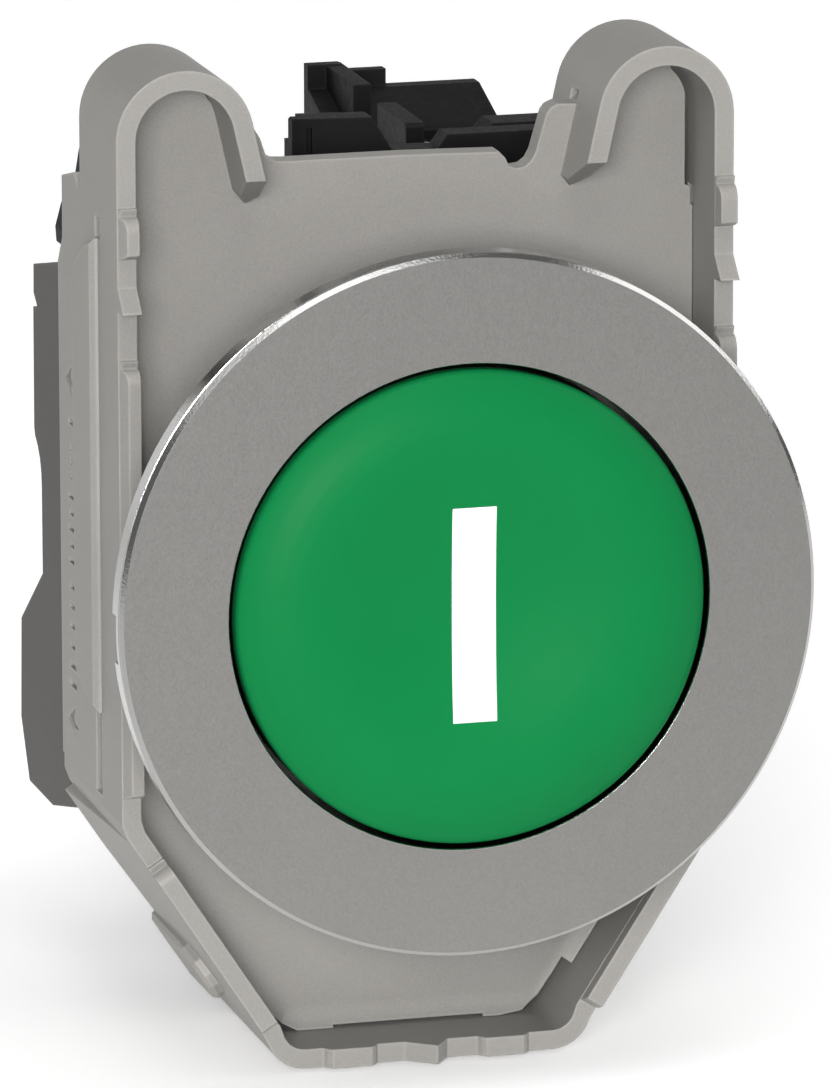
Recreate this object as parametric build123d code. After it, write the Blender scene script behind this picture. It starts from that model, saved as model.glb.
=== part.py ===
"""Flush-mounting industrial push button for a 30.5 mm panel hole.

Frame: the button's axis is Y and it faces -Y, +Z is up, +X is to the right seen from
the front. The origin is on the button's axis, on the rear face of the bezel flange,
which is the plane that the panel gasket seats on. Millimetres.
"""
from build123d import *
import math
import os

os.makedirs("parts", exist_ok=True)

# ---------------------------------------------------------------- driving dimensions
BEZEL_R = 18.0            # flange radius
BEZEL_FACE_R = 17.78      # where the flat face turns into the bevel
BEVEL = 0.24
BEZEL_T = 1.6             # flange thickness in front of the seat
HOLE_R = 12.42            # hole that the cap works in
SPIGOT_R = 13.4           # pocket of the head that the bezel spigot is pressed into
SPIGOT_L = 2.0
GASKET_RI, GASKET_RO, GASKET_T = 14.8, 17.3, 0.6

BOSS_R = 14.75            # fits a 30.5 mm panel hole
BOSS_L = 6.0
POCKET_FLOOR = 5.5        # where the cap carrier bottoms
BARREL_R = 11.0           # 22 mm barrel
BARREL_BORE_R = 8.9
BELLOWS_R, BELLOWS_Y = 10.35, 10.0   # seat of the sealing bellows
BARREL_END = 24.0
STEM_R = 5.0
GROOVE_Y0, GROOVE_Y1, GROOVE_R = 19.4, 21.3, 10.0

CAP_R = 12.12
CAP_SEAT_R = 11.98        # rear of the cap, inside the carrier's rim
CAP_FACE = -1.79          # middle of the cap's face
MARK_W, MARK_H, MARK_X, MARK_Z = 2.28, 11.0, 0.1, -0.3
CARRIER_R = 12.12
TRAVEL = 4.3              # full stroke of the button
CONTACT_STROKE = 2.6      # stroke at which the normally open contact closes

PUSHER_R, PUSHER_Y0, PUSHER_Y1 = 9.6, 24.3, 25.8

# clamp bracket, drawn at rest with 4.65 mm between gasket and tooth tips
RIM_Y = 6.4               # front edge of the bent strip
STRIP_T = 1.0
HALF_W = 16.05
FLANK_REAR = 19.3
ARCH_REAR = 14.3
ARCH_R = 3.55
ARCH_X, ARCH_Z = HALF_W - ARCH_R, 22.85
LEG_LEAN = 12.7
LEG_END_Z = 20.6          # hook ends, at the rim
LEG_TIP_Z = 18.75         # and at the plate
BOTTOM_Z = -25.6
TOOTH = 1.15              # how far the biting teeth stand out of the rim
PAD = 0.75                # how far the bearing pads stand out of the rim
FLOOR_Y, PLATE_T = 10.15, 1.75      # plate face and thickness
THIN = 0.4                # how much the plate's upper part is thinned at the back
LIP, LIP_R = 0.4, 2.0     # hollow moulded corner along the plate's lower edges

# fixing collar
COLLAR_Y0, COLLAR_Y1 = 13.4, 24.6
COLLAR_HW = 14.85
COLLAR_BORE_R = 11.1
CHEEK_T = 1.5             # side cheeks of the collar
FRAME_Y0, FRAME_Y1 = 28.4, 30.1
RING_POCKET_R, RING_POCKET_Y = 13.65, 19.1
SCREW_Z = -19.6           # clamp screw axis
SCREW_R, SCREW_HEAD_R = 1.95, 3.6

# contact block, at the right-hand station
BLK_X0, BLK_X1 = 4.9, 14.5
BLK_XC = (BLK_X0 + BLK_X1) / 2
BLK_Y0, BLK_Y1 = 30.5, 49.7
BLK_Z = 18.3
WALL = 0.9
TERM_Z = 12.2             # terminal screw axis height, above and below
FUNNEL_R = 2.8            # screwdriver guide


def save(shape, name):
    solids = shape.solids() if hasattr(shape, "solids") else shape
    made = Compound(children=list(solids)) if len(solids) > 1 else solids[0]
    export_step(made, f"parts/{name}.step")
    print(f"{name:24s} solids {len(solids)} volume {sum(s.volume for s in solids):9.2f}")


def box(x0, x1, y0, y1, z0, z1):
    return Pos((x0 + x1) / 2, (y0 + y1) / 2, (z0 + z1) / 2) * Box(x1 - x0, y1 - y0, z1 - z0)


def cyl(r, y0, y1, x=0.0, z=0.0):
    """A cylinder along Y."""
    return Pos(x, (y0 + y1) / 2, z) * Rot(90, 0, 0) * Cylinder(r, y1 - y0)


def tube(ro, ri, y0, y1, x=0.0, z=0.0):
    return cyl(ro, y0, y1, x, z) - cyl(ri, y0 - 1, y1 + 1, x, z)


def turned(points, x=0.0, z=0.0):
    """A solid turned about the Y axis from (radius, y) points."""
    face = make_face(Plane.XY * Polyline(*[(r, y) for r, y in points], close=True))
    return Pos(x, 0, z) * revolve(face, Axis.Y, 360)


def prism_xz(points, y0, y1):
    """A prism along Y from (x, z) points."""
    wire = Polyline(*[(x, 0, z) for x, z in points], close=True)
    return Pos(0, y0, 0) * extrude(make_face(wire), y1 - y0, dir=(0, 1, 0))


def prism_yz(points, x0, x1):
    """A prism along X from (y, z) points."""
    wire = Polyline(*[(0, y, z) for y, z in points], close=True)
    return Pos(x0, 0, 0) * extrude(make_face(wire), x1 - x0, dir=(1, 0, 0))


def arc_points(cx, cz, r, a0, a1, n=24):
    return [(cx + r * math.cos(math.radians(a0 + (a1 - a0) * i / n)),
             cz + r * math.sin(math.radians(a0 + (a1 - a0) * i / n))) for i in range(n + 1)]


def mirror_x(shape):
    return mirror(shape, about=Plane.YZ)


# ---------------------------------------------------------------- head
# bevelled front edge and a fine turned groove below it
edge = [(BEZEL_FACE_R, -BEZEL_T), (BEZEL_R, -BEZEL_T + BEVEL), (BEZEL_R, -BEZEL_T + BEVEL + 0.06), (BEZEL_R - 0.05, -BEZEL_T + BEVEL + 0.08),
        (BEZEL_R - 0.05, -BEZEL_T + BEVEL + 0.18), (BEZEL_R, -BEZEL_T + BEVEL + 0.2)]
bezel = turned([(HOLE_R, SPIGOT_L), (HOLE_R, -BEZEL_T + 0.05), (HOLE_R + 0.05, -BEZEL_T)]
               + edge + [(BEZEL_R, 0.0), (SPIGOT_R - 0.02, 0.0), (SPIGOT_R - 0.02, SPIGOT_L)])
# removal notch in the rear of the flange's edge
bezel -= box(-BEZEL_R - 1, -BEZEL_R + 0.35, -0.75, 0.5, -1.95, 0.55)
save(bezel, "bezel_ring")

gasket = turned([(GASKET_RI, 0.0), (GASKET_RO, 0.0), (GASKET_RO, 0.35), (GASKET_RO - 0.25, GASKET_T),
                 (GASKET_RI + 0.9, GASKET_T), (GASKET_RI + 0.7, 0.4), (GASKET_RI, 0.4)])
save(gasket, "panel_gasket")

body = turned([(SPIGOT_R, 0.02), (BOSS_R, 0.02), (BOSS_R, BOSS_L - 0.3), (BOSS_R - 0.3, BOSS_L), (BARREL_R, BOSS_L),
               (BARREL_R, GROOVE_Y0), (GROOVE_R, GROOVE_Y0), (GROOVE_R, GROOVE_Y1), (BARREL_R, GROOVE_Y1),
               (BARREL_R, BARREL_END - 0.4), (BARREL_R - 0.4, BARREL_END), (STEM_R + 0.05, BARREL_END),
               (STEM_R + 0.05, 22.5), (BARREL_BORE_R, 22.5), (BARREL_BORE_R, BELLOWS_Y), (BELLOWS_R, BELLOWS_Y), (BELLOWS_R, POCKET_FLOOR),
               (SPIGOT_R, POCKET_FLOOR)])
for k in range(3):        # bayonet entry slots, 30 degrees away from where the lugs rest
    body -= Rot(0, 120 * k - 30, 0) * box(-2.9, 2.9, GROOVE_Y0 + 0.3, BARREL_END + 1, GROOVE_R, BARREL_R + 1)
body -= box(-1.2, 1.2, BOSS_L, GROOVE_Y0, -BARREL_R - 1, -10.2)      # keyway
save(body, "head_barrel")

# a shallow finger dish inside a rounded crest, falling away again to the edge
front = [(0.0, CAP_FACE), (1.5, CAP_FACE - 0.012), (3.0, CAP_FACE - 0.054), (4.5, CAP_FACE - 0.136), (6.0, CAP_FACE - 0.254), (7.0, CAP_FACE - 0.335),
         (8.0, CAP_FACE - 0.385), (8.5, CAP_FACE - 0.391), (9.2, CAP_FACE - 0.376), (10.0, CAP_FACE - 0.324), (11.0, CAP_FACE - 0.21),
         (11.8, CAP_FACE - 0.076), (12.0, CAP_FACE - 0.01), (12.09, CAP_FACE + 0.10), (CAP_R, CAP_FACE + 0.24)]
cap = turned(front + [(CAP_R, -1.0), (CAP_SEAT_R, -1.0), (CAP_SEAT_R, 0.1), (0.0, 0.1)])
mark_box = box(MARK_X - MARK_W / 2, MARK_X + MARK_W / 2, -4.0, CAP_FACE + 0.6, MARK_Z - MARK_H / 2, MARK_Z + MARK_H / 2)
save(cap & mark_box, "on_mark")
save(cap - mark_box, "button_cap")

carrier = turned([(0.0, 0.1), (CAP_SEAT_R, 0.1), (CAP_SEAT_R, -0.95), (CARRIER_R, -0.95), (CARRIER_R, 1.15), (STEM_R + 0.8, 1.15),
                  (STEM_R, 1.95), (STEM_R, PUSHER_Y0), (2.9, PUSHER_Y0), (2.9, 25.85), (2.2, 25.85), (2.2, 26.45),
                  (2.9, 26.45), (2.9, 26.8), (2.6, 27.1), (0.0, 27.1)])
carrier -= box(-0.9, 0.9, 3.0, 23.0, STEM_R - 1.2, STEM_R + 1)      # moulding slots in the stem
carrier -= box(-0.9, 0.9, 3.0, 23.0, -STEM_R - 1, -STEM_R + 1.2)
save(carrier, "cap_carrier")

# sealing bellows between the carrier and the step in the barrel
outer_w = [(9.5, 1.2), (9.5, 1.9), (9.2, 2.2), (10.1, 3.3), (9.0, 4.5), (10.1, 5.7), (9.0, 6.9), (10.1, 8.1), (9.7, 8.8), (10.3, 9.1), (10.3, 10.0)]
inner_w = [(8.0, 10.0), (8.0, 9.0), (9.2, 8.6), (9.35, 8.1), (8.2, 6.9), (9.35, 5.7), (8.2, 4.5), (9.35, 3.3), (8.2, 2.2), (8.0, 1.9), (8.0, 1.2)]
bellows = turned(outer_w + inner_w)
save(bellows, "sealing_bellows")

spring = tube(7.55, 6.85, 1.2, 22.45)
save(spring, "return_spring")

pusher = turned([(2.95, PUSHER_Y0 + 0.02), (PUSHER_R - 0.3, PUSHER_Y0 + 0.02), (PUSHER_R, PUSHER_Y0 + 0.3), (PUSHER_R, PUSHER_Y1 - 0.2),
                 (PUSHER_R - 0.2, PUSHER_Y1), (2.95, PUSHER_Y1)])
for k in range(4):
    pusher -= Rot(0, 90 * k + 45, 0) * cyl(1.4, PUSHER_Y0 - 1, PUSHER_Y1 + 1, x=6.6)
save(pusher, "pusher_plate")

clip = tube(4.4, 2.25, 25.88, 26.42) - box(-1.4, 1.4, 25.5, 27.0, -6.0, 0.0)
save(clip, "retaining_clip")

# ---------------------------------------------------------------- clamp bracket
la = math.radians(LEG_LEAN)
ri = ARCH_R - STRIP_T


def half_strip():
    """Right half of the strip's outline, outer side then inner side, as (x, z)."""
    # hook leg, from its end up to the arch, along the side that faces the centre
    tx, tz = ARCH_X - ARCH_R * math.cos(la), ARCH_Z + ARCH_R * math.sin(la)
    down = (tz - LEG_TIP_Z) / math.cos(la)
    leg_out = (tx - down * math.sin(la), LEG_TIP_Z)
    outer = [leg_out] + arc_points(ARCH_X, ARCH_Z, ARCH_R, 180 - LEG_LEAN, 0)
    outer += [(HALF_W, -12.15)]
    # slanted side down to the flat bottom
    outer += [(HALF_W - 0.25, -12.85), (8.75, -23.75)]
    outer += arc_points(6.55, -23.55, 2.05, -20, -90, 10)
    outer += [(0.0, BOTTOM_Z)]
    ux, uz = ARCH_X - ri * math.cos(la), ARCH_Z + ri * math.sin(la)
    d2 = (uz - LEG_TIP_Z) / math.cos(la)
    leg_in = (ux - d2 * math.sin(la), LEG_TIP_Z)
    inner = [leg_in] + arc_points(ARCH_X, ARCH_Z, ri, 180 - LEG_LEAN, 0)
    inner += [(HALF_W - STRIP_T, -11.9)]
    inner += [(HALF_W - STRIP_T - 0.2, -12.55), (7.85, -23.3)]
    inner += arc_points(6.55, -23.4, 1.2, -15, -90, 8)
    inner += [(0.0, BOTTOM_Z + STRIP_T)]
    return outer, inner


outer, inner = half_strip()
strip = prism_xz(outer + inner[::-1], RIM_Y, FLANK_REAR)
strip = strip + mirror_x(strip)

# the rear edge: arches are shallower, the flank has a shoulder, the bottom is cut back
for s in (1, -1):
    rear = prism_yz([(ARCH_REAR, 30), (ARCH_REAR, 19.6), (15.0, 19.1), (15.6, 19.75), (FLANK_REAR - 1.0, 19.1),
                     (FLANK_REAR - 1.0, 15.9), (FLANK_REAR + 0.2, 14.2), (FLANK_REAR + 5, 14.2), (FLANK_REAR + 5, 30)], 4, 17)
    strip -= rear if s > 0 else mirror_x(rear)

# the hook legs end at the arches' rear edge
for s in (1, -1):
    leg_rear = box(4.0, 12.5, ARCH_REAR, 30, 15, 26) if s > 0 else box(-12.5, -4.0, ARCH_REAR, 30, 15, 26)
    strip -= leg_rear

# hook ends: bevelled back from the front edge
hook_cut = prism_yz([(RIM_Y - 1, LEG_END_Z + 0.4), (RIM_Y, LEG_END_Z), (FLOOR_Y, LEG_TIP_Z), (FLOOR_Y + 6, LEG_TIP_Z),
                     (FLOOR_Y + 6, 17), (RIM_Y - 1, 17)], 4.0, 12.4)
hook_cut += prism_xz([(6.0, 20.6), (7.9, 19.55), (8.5, LEG_TIP_Z), (8.5, 17.0), (6.0, 17.0)], RIM_Y + 0.9, FLOOR_Y + 6)
hook_cut += prism_xz([(11.0, 20.6), (9.1, 19.45), (8.5, LEG_TIP_Z), (8.5, 17.0), (11.0, 17.0)], RIM_Y + 0.9, FLOOR_Y + 6)
strip -= hook_cut
strip -= mirror_x(hook_cut)


def pad_yz(z0, z1, h, lead=0.72, tail=0.3):
    """Side view of a bearing pad on the rim: a small step, a rounded run-up, a flat and a short run-out."""
    y = RIM_Y
    top = z0 - 0.42
    run = [(y - 0.12 - (h - 0.12) * math.sin(math.radians(a)), top - lead * (1 - math.cos(math.radians(a)))) for a in range(15, 91, 15)]
    return [(y + 0.3, z0), (y - 0.26, z0), (y - 0.2, z0 - 0.16), (y - 0.12, top)] + run + [
            (y - h, z1 + tail), (y - 0.55 * h, z1 + 0.12), (y, z1), (y + 0.3, z1)]


def tooth_yz(z0, z1):
    """Side view of a biting tooth: a long slope down to the tip and a flat underside."""
    y = RIM_Y
    return [(y + 0.3, z0), (y, z0), (y - TOOTH, z1 + 0.1), (y, z1), (y + 0.3, z1)]


def edge_bevel(x_foot, x_top, side):
    """Cuts one long edge of the pads back, from x_foot at the rim to x_top at the land."""
    far = x_top + 2.0 * side
    w = make_face(Polyline((far, RIM_Y - 0.02), (x_foot, RIM_Y - 0.02), (x_top, RIM_Y - PAD), (x_top, RIM_Y - PAD - 0.5),
                           (far, RIM_Y - PAD - 0.5), close=True))
    return Pos(0, 0, -30) * extrude(w, 60, dir=(0, 0, 1))


def flank_pads(side):
    """The pads and the tooth of one flank; side is +1 for the right one and -1 for the left one."""
    made = []
    for prof in (pad_yz(19.6, 17.0, PAD), tooth_yz(15.55, 14.3), pad_yz(11.85, -10.75, PAD)):
        p = prism_yz(prof, HALF_W - STRIP_T, HALF_W)
        if prof[1][0] != RIM_Y:
            # the bevelled edge is the outer one on the left and the inner one on the right
            p -= edge_bevel(HALF_W - 0.06, HALF_W - 0.36, 1) if side < 0 else edge_bevel(HALF_W - STRIP_T + 0.02, HALF_W - STRIP_T + 0.14, -1)
        made.append(p if side > 0 else mirror_x(p))
    return made


def rotated_about(shape, x, z, deg):
    """Turns a shape about the line through (x, z) along Y; positive takes +Z towards +X."""
    return Pos(x, 0, z) * Rot(0, deg, 0) * Pos(-x, 0, -z) * shape


# a long pad along the slanted side
sl_len = math.hypot(HALF_W - 0.25 - 8.75, 23.75 - 12.85)
sl_deg = math.degrees(math.atan2(HALF_W - 0.25 - 8.75, 23.75 - 12.85))
slant = prism_yz(pad_yz(-12.85 - 1.9, -12.85 - sl_len + 0.2, PAD), HALF_W - 0.25 - STRIP_T + 0.04, HALF_W - 0.25)
slant = rotated_about(slant, HALF_W - 0.25, -12.85, sl_deg)
# the slanted side flares slightly towards the rear
tx, tz = (8.75 - HALF_W + 0.25) / sl_len, (-23.75 + 12.85) / sl_len


def on_slant(s_, off):
    """A point s_ along the slanted side from its upper end, off outside its face, as (x, z)."""
    return (HALF_W - 0.25 + s_ * tx - off * tz, -12.85 + s_ * tz + off * tx)


FLARE = [(0.3, 0.49), (4.0, 0.46), (9.0, 0.25), (12.6, 0.04)]
fa = [on_slant(a, 0.01) for a, b in FLARE] + [on_slant(12.6, -0.4), on_slant(0.3, -0.4)]
fb = [on_slant(a, b) for a, b in FLARE] + [on_slant(12.6, -0.4), on_slant(0.3, -0.4)]
flare = loft([make_face(Polyline(*[(x, RIM_Y + 0.6, z) for x, z in fa], close=True)),
              make_face(Polyline(*[(x, 19.0, z) for x, z in fb], close=True))], ruled=True)
# raised pad at the rear of the slanted side
sa, sb = -12.85 - 8.6, -12.85 - 12.5
boss = prism_yz([(19.0, sa), (14.4, sa), (12.9, sa - 0.3), (11.9, sa - 1.0), (11.5, sa - 1.8), (11.5, sb + 1.4), (12.0, sb + 0.7),
                 (13.0, sb + 0.15), (14.4, sb), (19.0, sb)], HALF_W - 0.6, HALF_W - 0.25 + 0.65)
boss = chamfer(boss.edges().group_by(Axis.X)[-1], 0.22)
boss = rotated_about(boss, HALF_W - 0.25, -12.85, sl_deg)

bottom = []
for x0, x1 in ((2.55, 5.3), (-5.6, -2.75)):
    y = RIM_Y
    xm = [(x0, y + 0.3), (x0, y), (x0 + 0.18, y - 0.6 * 0.45), (x0 + 0.4, y - 0.45), (x1 - 0.4, y - 0.45), (x1 - 0.18, y - 0.6 * 0.45),
          (x1, y), (x1, y + 0.3)]
    w = make_face(Polyline(*[(a, b) for a, b in xm], close=True))
    bottom.append(Pos(0, 0, BOTTOM_Z) * extrude(w, STRIP_T, dir=(0, 0, 1)))
y = RIM_Y
w = make_face(Polyline((-1.3, y + 0.3), (-1.3, y), (0.15, y - TOOTH), (0.95, y), (0.95, y + 0.3), close=True))
bottom.append(Pos(0, 0, BOTTOM_Z) * extrude(w, STRIP_T, dir=(0, 0, 1)))

for p in flank_pads(1) + flank_pads(-1) + bottom:
    strip += p
for p in (slant, flare, boss):
    strip += p
    strip += mirror_x(p)
# rear edge of the lower part
low = prism_yz([(FLANK_REAR + 5, -11.4), (FLANK_REAR - 0.3, -11.4), (FLANK_REAR - 0.3, -21.6), (18.5, -22.4),
                (18.1, -23.4), (18.0, -30), (FLANK_REAR + 5, -30)], -17.5, 17.5)
strip -= low

# raised stiffening rib on each flank, with the plate's slots above and below it
rib = prism_yz([(10.6, 17.35), (12.0, 16.95), (13.2, 16.25), (14.1, 15.6), (14.7, 15.0), (14.95, 14.4), (14.95, -5.9), (14.4, -6.3), (10.6, -7.3)],
               HALF_W - 0.1, HALF_W + 0.4)
rib = chamfer(rib.edges().group_by(Axis.X)[-1], 0.28)
strip += rib
strip += mirror_x(rib)
slot_up = box(HALF_W - 2, HALF_W + 1, 10.1, 11.15, 17.3, 18.42)
slot_dn = box(HALF_W - 2, HALF_W + 1, 10.6, 11.9, -11.6, -7.3)
for s in (slot_up, slot_dn):
    strip -= s
    strip -= mirror_x(s)
# slot in each hook leg, where the plate passes through
leg_slot = box(4.0, ARCH_X - 1.4, FLOOR_Y + 0.1, FLOOR_Y + PLATE_T - THIN + 0.05, 18.0, 23.6)
strip -= leg_slot
strip -= mirror_x(leg_slot)
# shallow engraving on each flank: arrows at the ends of a row of setting marks
MARK_Y0, MARK_Y1, MARK_DEPTH = 15.6, 18.0, 0.22
ym = (MARK_Y0 + MARK_Y1) / 2
for side in (1, -1):
    xa, xb = (HALF_W - MARK_DEPTH, HALF_W + 1) if side > 0 else (-HALF_W - 1, -HALF_W + MARK_DEPTH)
    cuts = []
    for zt in (8.6, -9.3):
        cuts.append(prism_yz([(18.0, zt), (16.5, zt + 0.9), (16.75, zt + 0.2), (15.6, zt - 0.15), (16.75, zt - 0.2), (16.35, zt - 0.9)], xa, xb))
    for k, (zc, w, t_) in enumerate(((6.55, 1.1, 0.34), (5.2, 0.42, 0.34), (4.45, 0.42, 0.34), (3.7, 0.42, 0.34), (2.6, 1.5, 0.24), (1.75, 1.0, 0.24),
                                     (0.9, 1.5, 0.24), (0.05, 1.0, 0.24), (-0.8, 1.5, 0.24), (-2.1, 1.1, 0.3), (-3.15, 1.1, 0.3), (-4.2, 1.1, 0.3),
                                     (-5.25, 1.1, 0.3), (-6.3, 1.5, 0.3), (-7.3, 1.5, 0.3))):
        cuts.append(box(xa, xb, ym - w / 2, ym + w / 2, zc - t_ / 2, zc + t_ / 2))
    for c_ in cuts:
        strip -= c_
save(strip, "bracket_strip")

# plate: fills the strip's loop, with lugs through the hook legs and a hole for the barrel
iw = HALF_W - STRIP_T - 0.03
GAP = 0.42                # the plate stands clear of the flank beside the arches
half = [(0.0, -24.57), (4.7, -24.57), (5.9, -24.42), (6.8, -23.72), (7.66, -22.5), (8.1, -21.78), (8.58, -22.1), (iw - 0.2, -12.5), (iw, -11.9), (iw, 17.35),
        (iw - 0.12, 17.45), (iw - 0.12, 18.35), (iw - GAP, 18.5), (iw - GAP, ARCH_Z)]
half += arc_points(ARCH_X, ARCH_Z, ri - GAP, 0, 50, 8)[1:]
half += arc_points(ARCH_X, ARCH_Z, ri - 0.03, 62, 150, 12)
lug_r = [(9.0, 22.97), (8.75, 22.97), (7.9, 23.01), (7.51, 22.84), (7.28, 22.55), (6.7, 20.55)]
lug_l = [(9.0, 22.9), (8.3, 22.8), (8.08, 22.67), (7.7, 22.05), (7.4, 21.13), (6.87, 20.83)]
right_top = half + lug_r + [(6.45, 20.1), (6.1, 19.85), (5.65, 19.8), (5.3, 19.95), (5.12, 20.35), (4.8, 20.7), (0.0, 20.8)]
half_l = [(0.0, -24.57), (6.08, -24.57), (6.82, -24.21), (7.75, -23.35), (iw - 0.2, -12.5), (iw, -11.9), (iw, ARCH_Z)]
half_l += arc_points(ARCH_X, ARCH_Z, ri - 0.03, 0, 150, 20)[1:]
left_top = half_l + lug_l + [(6.3, 20.8), (0.0, 20.8)]
blank = prism_xz(right_top, FLOOR_Y - LIP, FLOOR_Y + PLATE_T) + mirror_x(prism_xz(left_top, FLOOR_Y - LIP, FLOOR_Y + PLATE_T))
# the face is flat apart from a hollow corner that rises to the lower edges
d = LIP_R - math.sqrt(LIP_R ** 2 - (LIP_R - LIP) ** 2)      # how far outside the plate's edge the cutter's wall is
open_ = [(0.0, -24.57 - d), (7.56, -24.57 - d), (15.6, -12.97), (18.5, -12.97), (18.5, 30.0), (0.0, 30.0)]
tool = prism_xz(open_ + [(-a, b) for a, b in open_[::-1][1:-1]], 0.0, FLOOR_Y)
tool = fillet(tool.edges().group_by(Axis.Y)[-1], LIP_R)
plate = blank - tool
plate -= box(-13.6, 13.6, FLOOR_Y + PLATE_T - THIN, FLOOR_Y + PLATE_T + 1, -11.0, 30)    # upper part thinned at the back
plate -= box(-4.18, 3.79, 5.0, FLOOR_Y + PLATE_T + 1, -25.0, -24.42)                      # drain slot at the bottom
plate -= cyl(BARREL_R + 0.45, 5.0, FLOOR_Y + PLATE_T + 1)
plate -= strip
save(plate, "bracket_plate")

# ---------------------------------------------------------------- fixing collar
c = COLLAR_HW
ci = c - CHEEK_T
collar = prism_xz([(-ci - 0.1, -12.6), (-12.2, -15.3), (12.2, -15.3), (ci + 0.1, -12.6), (ci + 0.1, 10.2), (12.2, 12.2), (-12.2, 12.2),
                   (-ci - 0.1, 10.2)], COLLAR_Y0, COLLAR_Y1)
# side cheeks, waisted at the middle of their rear edge
cheek = prism_yz([(COLLAR_Y0 + 0.6, 12.4), (COLLAR_Y0 + 1.4, 13.4), (24.0, 13.4), (30.05, 12.1), (30.1, 10.55), (29.3, 10.0), (30.2, 9.8),
                  (30.3, 3.35), (30.15, 2.95), (29.55, 2.5), (29.05, 1.9), (28.78, 1.2), (28.7, 0.4), (28.7, -4.2), (33.8, -7.76), (34.1, -13.2),
                  (33.4, -14.4), (32.3, -16.3), (26.9, -16.3), (21.6, -15.1), (20.7, -14.6), (20.7, -11.9), (COLLAR_Y0 + 0.6, -11.4)], ci, c)
collar += cheek
collar += mirror_x(cheek)
# rear cross bars between the cheeks
collar += box(-ci - 0.1, ci + 0.1, FRAME_Y0, FRAME_Y1, 10.3, 12.1)
collar += box(-ci - 0.1, ci + 0.1, FRAME_Y0, FRAME_Y1, -16.2, -12.4)
# lug for the clamp screw
lug = prism_xz([(-5.4, -14.5), (-4.6, -20.0), (-3.2, -22.6), (3.2, -22.6), (4.6, -20.0), (5.4, -14.5)], 14.6, 22.4)
collar += lug
collar -= cyl(COLLAR_BORE_R, COLLAR_Y0 - 1, COLLAR_Y1 + 1)
collar += box(-1.05, 1.05, COLLAR_Y0 + 0.3, RING_POCKET_Y, -11.6, -10.35)       # key for the barrel's keyway
collar -= cyl(RING_POCKET_R, RING_POCKET_Y, COLLAR_Y1 + 1)
# opening above for the lever's arm, wide enough for its swing
collar -= prism_xz([(-12.2, 14.0), (-10.0, 8.0), (10.5, 8.0), (12.4, 14.0)], RING_POCKET_Y, COLLAR_Y1 + 1)
collar -= cyl(SCREW_R + 0.08, 10, 40, z=SCREW_Z)
collar -= cyl(SCREW_HEAD_R + 0.5, 22.4, 40, z=SCREW_Z)
collar -= box(-SCREW_HEAD_R - 0.5, SCREW_HEAD_R + 0.5, 22.4, 40, -30, SCREW_Z)
save(collar, "collar_body")

# turning lock: metal bayonet ring inside a moulded ring with its lever
lock = tube(12.3, 11.08, RING_POCKET_Y + 0.1, COLLAR_Y1 - 0.15)
for k in range(3):
    lug_ = tube(12.0, GROOVE_R + 0.3, GROOVE_Y0 + 0.2, GROOVE_Y1 - 0.2) & (
        Rot(0, 120 * k, 0) * box(-2.6, 2.6, 15, 25, 6, 14))
    lock += lug_
for k in range(2):
    lock += Rot(0, 180 * k + 90, 0) * box(-1.5, 1.5, 21.5, 24.0, 12.1, 12.85)
save(lock, "bayonet_ring")

lever = tube(13.35, 12.34, RING_POCKET_Y + 0.1, COLLAR_Y1 - 0.15)
arm = prism_xz([(-3.2, 11.5), (-3.2, 17.0), (-3.38, 17.6), (-3.38, 20.8), (-3.28, 20.92), (0.88, 20.81), (1.94, 19.05), (4.4, 19.0), (4.9, 19.69),
                (10.44, 19.69), (10.9, 19.2), (11.2, 16.6), (8.6, 15.4), (8.6, 11.0), (6.0, 9.0), (0.0, 9.0)], 20.4, 22.0)
arm += prism_xz([(-3.2, 11.5), (-3.2, 16.2), (10.6, 16.2), (8.6, 15.4), (8.6, 11.0), (6.0, 9.0), (0.0, 9.0)], 20.4, 23.9)   # root
arm -= box(-2.62, -2.3, 20.3, 20.75, 17.0, 20.4)        # moulding groove
arm -= box(-4.0, -2.8, 21.2, 22.1, 19.65, 21.1)         # step at the corner
arm -= cyl(12.6, 19, 25)
lever += arm
for k in range(2):
    lever -= Rot(0, 180 * k + 90, 0) * box(-1.55, 1.55, 21.4, 24.1, 11.8, 12.9)
save(lever, "lock_lever")

# black carrier between the collar's front block and its rear frame, with ears for the contact blocks
half_c = [(0.0, -12.0), (11.4, -12.0), (11.4, -9.6), (12.9, -9.4), (12.9, 4.4), (11.4, 4.8), (11.4, 10.2), (12.9, 10.2), (12.9, 13.6), (14.0, 13.6),
          (14.05, 14.4), (13.73, 15.6), (12.95, 17.2), (12.75, 18.4), (12.3, 19.0), (9.0, 19.0), (8.0, 18.0), (6.8, 14.0), (3.0, 12.4), (0.0, 12.4)]
carrier2 = prism_xz(half_c, COLLAR_Y1 + 1.6, FRAME_Y0 - 0.02)
carrier2 += mirror_x(carrier2)
carrier2 += tube(13.2, 11.4, COLLAR_Y1 + 0.05, COLLAR_Y1 + 1.7) & box(-20, 20, 20, 30, -20, 6.0)
carrier2 -= cyl(PUSHER_R + 0.35, 20, 40)
carrier2 -= collar
save(carrier2, "contact_carrier")

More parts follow.
